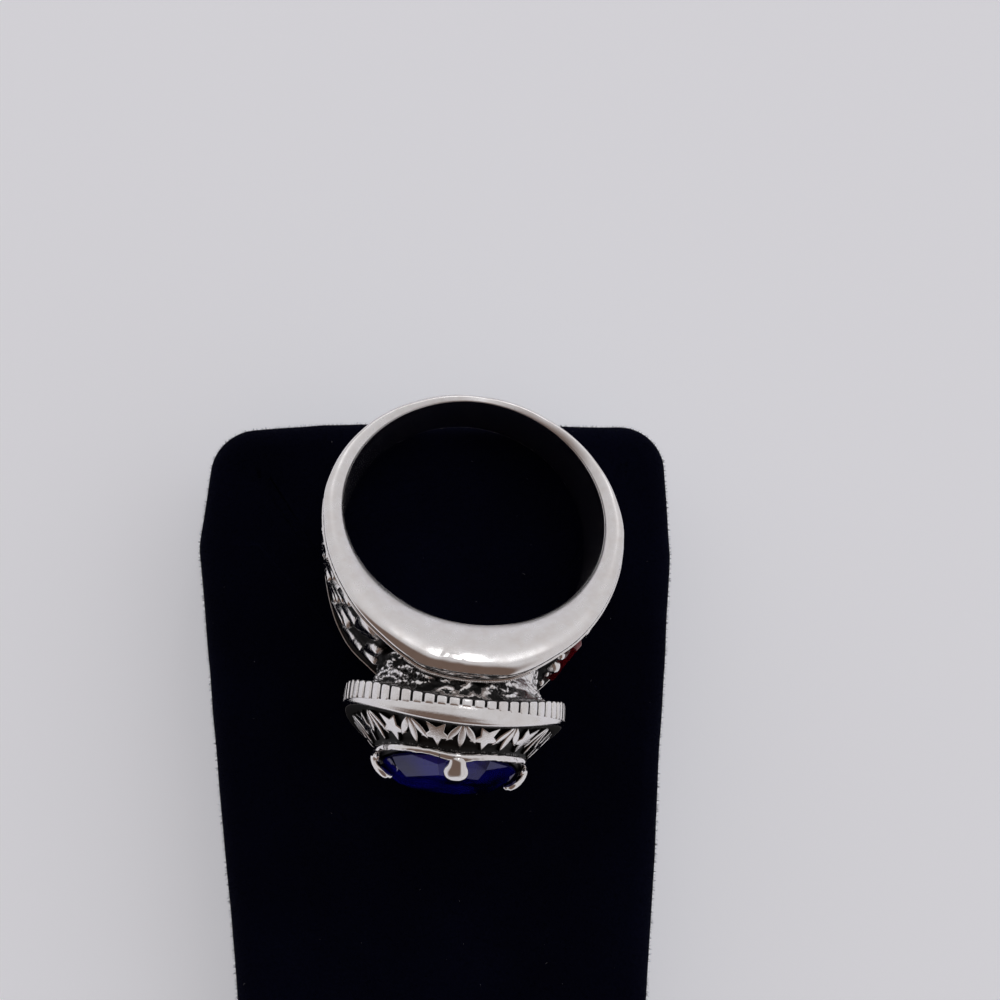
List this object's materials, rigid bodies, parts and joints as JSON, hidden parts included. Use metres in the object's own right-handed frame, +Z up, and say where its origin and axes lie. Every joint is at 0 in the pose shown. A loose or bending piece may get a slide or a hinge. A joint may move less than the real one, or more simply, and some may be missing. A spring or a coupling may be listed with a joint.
{
  "type": "military ring on velvet display pad",
  "caption": "Heavy cast silver ring with a round blue stone in claws, a coin-edged flange and raised shoulders, lying on its side on a black velvet display pad.",
  "frame": {"origin": "middle of everything, at the underside of the pad", "axes": "+Z up, +Y towards the pad's back edge, the ring's head points mostly to -Y and the finger axis leans 12 degrees from +Z"},
  "size_m": [0.0396, 0.0608, 0.0277],
  "materials": {
    "cast_silver": "satin sides, polished hole and claws, dark patina in the relief",
    "blue_stone": "faceted, polished",
    "red_enamel": "fired enamel, gloss",
    "black_velvet": "short pile"
  },
  "bodies": {
    "root": {"ring_body": "cast_silver", "stone": "blue_stone", "enamel": "red_enamel", "display_pad": "black_velvet"}
  },
  "joints": []
}
